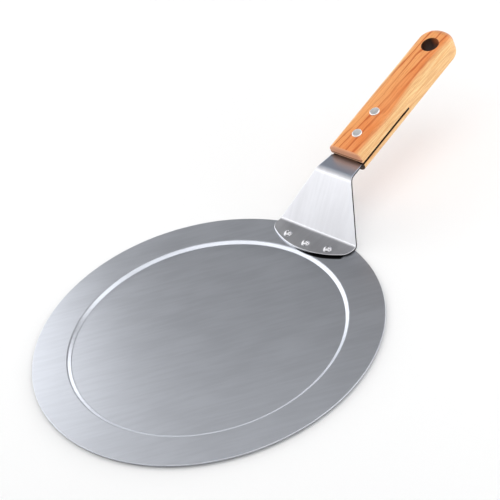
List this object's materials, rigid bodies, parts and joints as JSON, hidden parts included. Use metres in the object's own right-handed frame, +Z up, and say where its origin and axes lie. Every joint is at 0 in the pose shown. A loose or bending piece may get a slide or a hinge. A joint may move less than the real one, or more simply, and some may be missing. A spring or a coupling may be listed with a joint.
{
  "type": "pizza peel",
  "caption": "Short-handled pizza peel: round dished steel plate, folded sheet-metal neck riveted to its rim, and a solid wood handle with a hanging hole.",
  "frame": {"origin": "centre of the round plate, on the underside of its pressed centre, which rests on the table", "axes": "+Y from the plate towards the handle, +Z up, +X to the right when looking along +Y"},
  "size_m": [0.254, 0.4237, 0.0809],
  "materials": {
    "plate_steel": "satin, finely brushed",
    "bracket_steel": "satin",
    "rivet_steel": "polished",
    "handle_wood": "smooth oiled wood with visible grain"
  },
  "bodies": {
    "root": {"plate": "plate_steel", "neck_bracket": "bracket_steel", "handle": "handle_wood", "plate_rivet_left": "rivet_steel", "plate_rivet_centre": "rivet_steel", "plate_rivet_right": "rivet_steel", "handle_rivet_front_head": "rivet_steel", "handle_rivet_front_post": "rivet_steel", "handle_rivet_rear_head": "rivet_steel", "handle_rivet_rear_post": "rivet_steel"}
  },
  "joints": []
}
